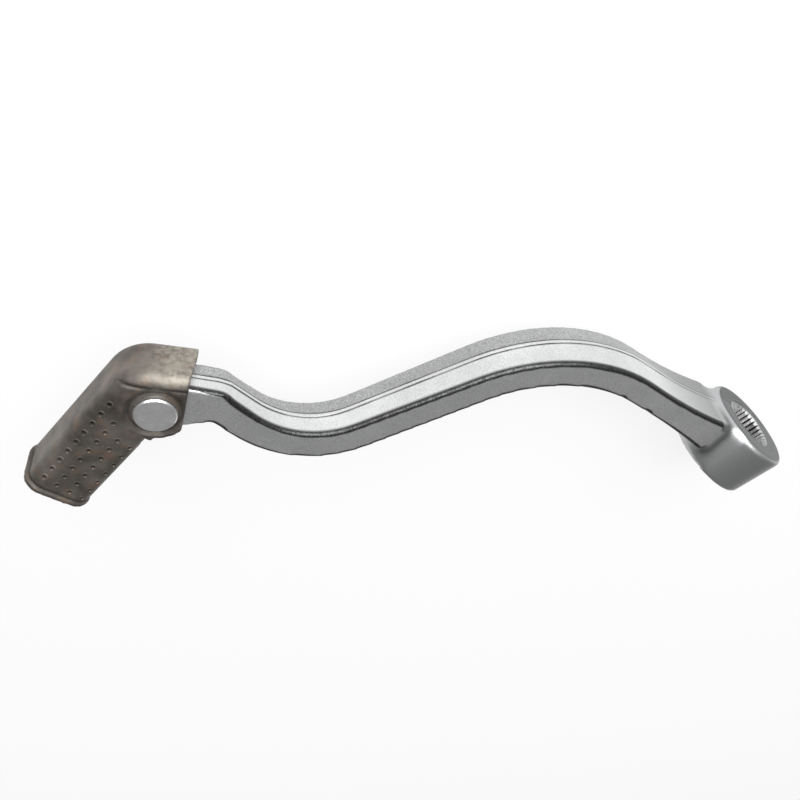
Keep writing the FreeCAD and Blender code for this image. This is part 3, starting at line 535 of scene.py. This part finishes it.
def springMaterial():
    mat, tree, shader = newMaterial("drawnWire")
    vector = localCoords(tree, objectCoords(tree), pivotFrame)[0]
    cloud = noise(tree, vector, spring["cloud"], 4, 0.6)
    drawn = noise(tree, vector, spring["drawn"], 2)
    tone = ramp(tree, cloud, [(0.3, spring["dark"]), (0.7, spring["light"])])
    tree.links.new(tone, shader.inputs["Base Color"])
    tree.links.new(spread(tree, cloud, *spring["rough"]), shader.inputs["Roughness"])
    tree.links.new(bump(tree, drawn, 0.2, spring["drawnDepth"]), shader.inputs["Normal"])
    shader.inputs["Metallic"].default_value = 1.0
    return mat


def woundSpring():
    turns = (spring["toeTurn"] + 720 - spring["armTurn"]) / 360
    height = turns * spring["pitch"]
    bm = bmesh.new()
    ring = bmesh.ops.create_circle(bm, segments=spring["sides"], radius=spring["wire"])["verts"]
    bmesh.ops.rotate(bm, verts=ring, cent=(0, 0, 0), matrix=Matrix.Rotation(math.radians(90), 3, "X"))
    bmesh.ops.translate(bm, verts=ring, vec=(spring["radius"], 0, 0))
    first = list(bm.edges)
    legs = bmesh.ops.extrude_edge_only(bm, edges=first)["geom"]
    legVerts = [g for g in legs if isinstance(g, bmesh.types.BMVert)]
    bmesh.ops.translate(bm, verts=legVerts, vec=(0, -spring["armLeg"], 0))
    bmesh.ops.contextual_create(bm, geom=[g for g in legs if isinstance(g, bmesh.types.BMEdge)])
    profile = first + list({v for e in first for v in e.verts})
    wound = bmesh.ops.spin(bm, geom=profile, cent=(0, 0, 0), axis=(0, 0, 1), angle=turns * 2 * math.pi,
                           dvec=(0, 0, height / spring["steps"]), steps=spring["steps"])
    last = [g for g in wound["geom_last"] if isinstance(g, bmesh.types.BMEdge)]
    legs = bmesh.ops.extrude_edge_only(bm, edges=last)["geom"]
    legVerts = [g for g in legs if isinstance(g, bmesh.types.BMVert)]
    ahead = Matrix.Rotation(turns * 2 * math.pi, 3, "Z") @ Vector((0, spring["toeLeg"], 0))
    bmesh.ops.translate(bm, verts=legVerts, vec=ahead)
    bmesh.ops.contextual_create(bm, geom=[g for g in legs if isinstance(g, bmesh.types.BMEdge)])
    bmesh.ops.recalc_face_normals(bm, faces=bm.faces)
    place = (pivotFrame @ Matrix.Translation((0, 0, -height / 2))
             @ Matrix.Rotation(math.radians(spring["armTurn"]), 4, "Z"))
    bmesh.ops.transform(bm, matrix=place, verts=bm.verts)
    ends = [pivotFrame @ Vector((0, 0, side * (height / 2 - spring["wire"]))) for side in (-1, 1)]
    return keepMesh(bm, "woundSpring"), ends


coil, coilEnds = woundSpring()
coil.data.materials.append(springMaterial())
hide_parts("return_spring")
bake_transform(coil)
print("spring done")


# studio: white floor that keeps a faint shadow, one soft lamp on the engine side
studio = {"floorSize": 3.0, "floorGap": 0.0002, "floor": (0.95, 0.95, 0.95), "floorRough": 0.9, "white": 0.85,
          "world": 0.28, "key": 14.5, "keyPlace": (0.43, -0.61, 0.54), "keyTarget": (0.07, 0.02, 0),
          "keySize": 1.0}


def studioFloor():
    bm = bmesh.new()
    bmesh.ops.create_grid(bm, x_segments=1, y_segments=1, size=studio["floorSize"])
    bmesh.ops.translate(bm, vec=(0, 0, cadBox[0][2] - studio["floorGap"]), verts=bm.verts)
    floor = keepMesh(bm, "studioFloor")
    mat, tree, shader = newMaterial("paleFloor")
    shader.inputs["Base Color"].default_value = (*studio["floor"], 1)
    shader.inputs["Roughness"].default_value = studio["floorRough"]
    glow = tree.nodes.new("ShaderNodeEmission")
    rays = tree.nodes.new("ShaderNodeLightPath").outputs
    seen = sums(tree, "MAXIMUM", sums(tree, "MAXIMUM", rays["Is Camera Ray"], rays["Is Glossy Ray"]),
                rays["Is Transmission Ray"])
    mix = tree.nodes.new("ShaderNodeMixShader")
    tree.links.new(sums(tree, "MULTIPLY", seen, studio["white"]), mix.inputs["Fac"])
    tree.links.new(shader.outputs["BSDF"], mix.inputs[1])
    tree.links.new(glow.outputs["Emission"], mix.inputs[2])
    out = [n for n in tree.nodes if n.type == "OUTPUT_MATERIAL"][0]
    tree.links.new(mix.outputs["Shader"], out.inputs["Surface"])
    floor.data.materials.append(mat)


def softLamp(name, place, target, size, power):
    lamp = bpy.data.lights.new(name, "AREA")
    lamp.shape = "DISK"
    lamp.size = size
    lamp.energy = power
    holder = bpy.data.objects.new(name, lamp)
    scene.collection.objects.link(holder)
    place = Vector(place)
    holder.location = place
    holder.rotation_euler = (Vector(target) - place).to_track_quat("-Z", "Y").to_euler()


def studioWorld():
    world = bpy.data.worlds.new("studioWorld")
    scene.world = world
    world.use_nodes = True
    tree = world.node_tree
    tree.nodes.clear()
    out = tree.nodes.new("ShaderNodeOutputWorld")
    back = tree.nodes.new("ShaderNodeBackground")
    back.inputs["Color"].default_value = (1, 1, 1, 1)
    seen = tree.nodes.new("ShaderNodeLightPath").outputs["Is Camera Ray"]
    tree.links.new(spread(tree, seen, studio["world"], 1), back.inputs["Strength"])
    tree.links.new(back.outputs["Background"], out.inputs["Surface"])


studioFloor()
studioWorld()
softLamp("keyLamp", studio["keyPlace"], studio["keyTarget"], studio["keySize"], studio["key"])
print("studio done")


# camera at the photograph's place, found from the boss, the bore and the rivet
photo = {"place": (0.170518, -0.055274, 0.121051), "right": (-0.771775, -0.629900, 0.087087),
         "up": (0.385990, -0.572897, -0.723053), "lens": 33.75, "sensor": 36, "clipStart": 0.005}


def photoCamera():
    camera = bpy.data.cameras.new("photoCamera")
    camera.lens = photo["lens"]
    camera.sensor_width = photo["sensor"]
    camera.clip_start = photo["clipStart"]
    right, up = Vector(photo["right"]), Vector(photo["up"])
    turn = Matrix((right, up, right.cross(up))).transposed().to_4x4()
    holder = bpy.data.objects.new("photoCamera", camera)
    holder.matrix_world = Matrix.Translation(photo["place"]) @ turn
    scene.collection.objects.link(holder)
    scene.camera = holder


photoCamera()
scene.view_settings.view_transform = "Standard"
print("camera done")
